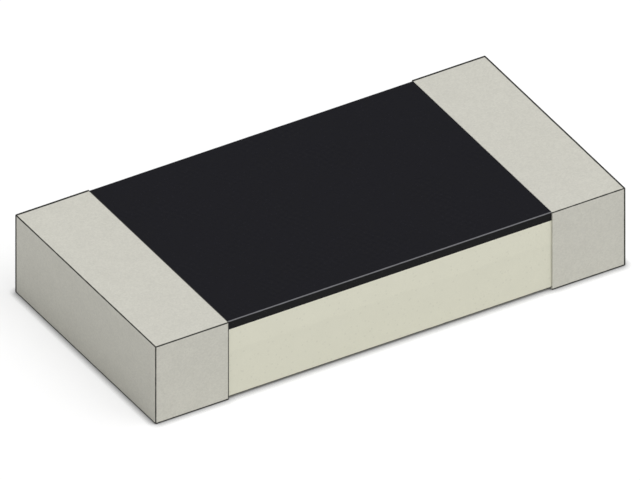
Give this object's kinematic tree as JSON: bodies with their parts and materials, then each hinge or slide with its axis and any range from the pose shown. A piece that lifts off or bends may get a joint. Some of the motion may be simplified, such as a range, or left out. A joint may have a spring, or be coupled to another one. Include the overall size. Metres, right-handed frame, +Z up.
{
  "type": "chip fuse",
  "caption": "Surface-mount chip fuse: a flat ceramic block with a hidden narrow metal link under a black coat, and a tinned wrap-round solder cap at each end.",
  "frame": {"origin": "middle of the underside, level with both solder faces", "axes": "+X along the length from cap to cap, +Y across the width, +Z up out of the black coat"},
  "size_m": [0.0032, 0.0016, 0.0005],
  "materials": {
    "alumina": "matte",
    "barrier_glass": "gloss",
    "link_film": "satin",
    "link_tin": "satin",
    "clear_seal": "gloss",
    "black_epoxy": "satin",
    "printed_contact": "matte",
    "fired_silver": "matte",
    "nickel": "satin",
    "matt_tin": "satin"
  },
  "bodies": {
    "root": {"ceramic_substrate": "alumina", "thermal_barrier": "barrier_glass", "fuse_element": "link_film", "tin_spot": "link_tin", "passivation": "clear_seal", "overcoat": "black_epoxy", "top_electrode_left": "printed_contact", "top_electrode_right": "printed_contact", "back_electrode_left": "printed_contact", "back_electrode_right": "printed_contact", "base_cap_left": "fired_silver", "base_cap_right": "fired_silver", "nickel_barrier_left": "nickel", "nickel_barrier_right": "nickel", "tin_cap_left": "matt_tin", "tin_cap_right": "matt_tin"}
  },
  "joints": []
}
